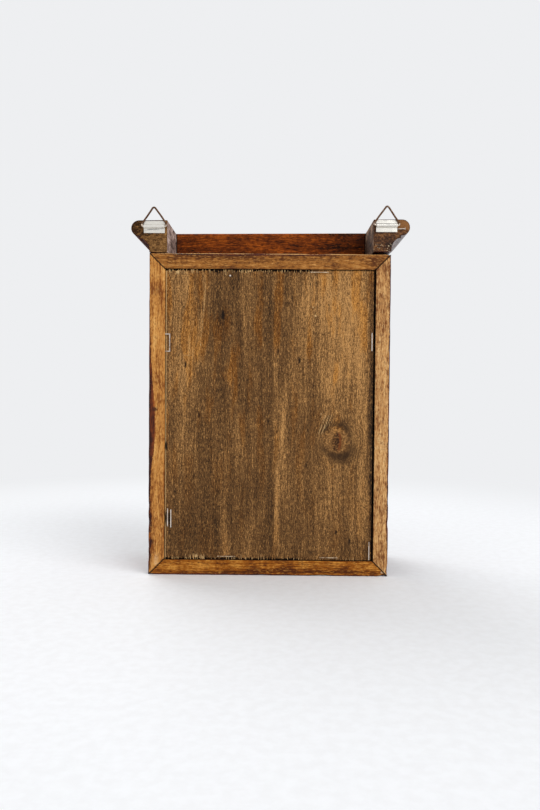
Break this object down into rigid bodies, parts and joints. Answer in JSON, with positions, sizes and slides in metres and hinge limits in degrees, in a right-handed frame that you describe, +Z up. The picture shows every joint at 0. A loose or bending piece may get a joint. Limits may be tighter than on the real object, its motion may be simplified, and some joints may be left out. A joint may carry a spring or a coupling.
{
  "type": "wall key cabinet",
  "caption": "Small wooden key cabinet with a mitred crown moulding, stapled back panel, hinged panelled door, key hooks inside and wire rings that hang it on a wall.",
  "frame": {"origin": "centre of the carcass's underside", "axes": "+Z up, +Y to the wall, so that the door faces -Y, and +X to the right as seen from the front"},
  "size_m": [0.1956, 0.0916, 0.2612],
  "materials": {
    "frame_wood": "bare, rubbed, with remains of a dark red-brown finish on the outer corners",
    "panel_wood": "rough, weathered, upright grain",
    "crown_wood": "dark red-brown varnish, worn at the nose",
    "door_wood": "dark red-brown varnish, worn at the edges",
    "rail_wood": "planed, bare",
    "brass": "aged",
    "saddle_tin": "bright tinned sheet",
    "ring_wire": "brown, tarnished",
    "staple_steel": "galvanised, dulled",
    "catch_plastic": "matte",
    "magnet": "sintered, dull"
  },
  "bodies": {
    "carcass": {"side_left": "frame_wood", "side_right": "frame_wood", "top_board": "frame_wood", "bottom_board": "frame_wood", "back_panel": "panel_wood", "crown_front": "crown_wood", "crown_return_left": "crown_wood", "crown_return_right": "crown_wood", "staple_side_right_1": "staple_steel", "staple_side_right_2": "staple_steel", "staple_side_left_1": "staple_steel", "staple_side_left_2": "staple_steel", "staple_top_board_1": "staple_steel", "staple_bottom_board_1": "staple_steel", "staple_bottom_board_2": "staple_steel", "staple_sideways": "staple_steel", "panel_pin": "staple_steel", "hanger_nail_left": "staple_steel", "hanger_saddle_left": "saddle_tin", "hanger_saddle_right": "saddle_tin", "key_rail_lower": "rail_wood", "key_rail_upper": "rail_wood", "key_hook_lower_1": "brass", "key_hook_lower_2": "brass", "key_hook_lower_3": "brass", "key_hook_lower_4": "brass", "key_hook_upper_1": "brass", "key_hook_upper_2": "brass", "key_hook_upper_3": "brass", "key_hook_upper_4": "brass", "hinge_leaf_carcass_lower": "brass", "hinge_leaf_carcass_upper": "brass", "hinge_pin_lower": "brass", "hinge_pin_upper": "brass", "hinge_screw_carcass_lower_1": "brass", "hinge_screw_carcass_lower_2": "brass", "hinge_screw_carcass_upper_1": "brass", "hinge_screw_carcass_upper_2": "brass", "catch_case": "catch_plastic", "catch_magnet": "magnet", "catch_screw_1": "brass", "catch_screw_2": "brass"},
    "door": {"door_stile_left": "door_wood", "door_stile_right": "door_wood", "door_rail_top": "door_wood", "door_rail_bottom": "door_wood", "door_panel": "door_wood", "hinge_leaf_door_lower": "brass", "hinge_leaf_door_upper": "brass", "hinge_screw_door_lower_1": "brass", "hinge_screw_door_lower_2": "brass", "hinge_screw_door_upper_1": "brass", "hinge_screw_door_upper_2": "brass", "knob": "brass", "knob_screw": "brass", "strike_plate": "saddle_tin", "strike_screw": "brass"},
    "ring_left": {"hanger_ring_left": "ring_wire"},
    "ring_right": {"hanger_ring_right": "ring_wire"}
  },
  "joints": [
    {"name": "door_hinge", "type": "hinge", "parent": "carcass", "child": "door", "pos_m": [-0.087, -0.0318, 0.11375], "axis": [0, 0, -1], "range_deg": [0, 180]},
    {"name": "ring_left_swing", "type": "hinge", "parent": "carcass", "child": "ring_left", "pos_m": [-0.0814, 0.033, 0.2474], "axis": [-1, 0, 0], "range_deg": [0, 160]},
    {"name": "ring_right_swing", "type": "hinge", "parent": "carcass", "child": "ring_right", "pos_m": [0.0814, 0.033, 0.2456], "axis": [-1, 0, 0], "range_deg": [0, 160]}
  ]
}
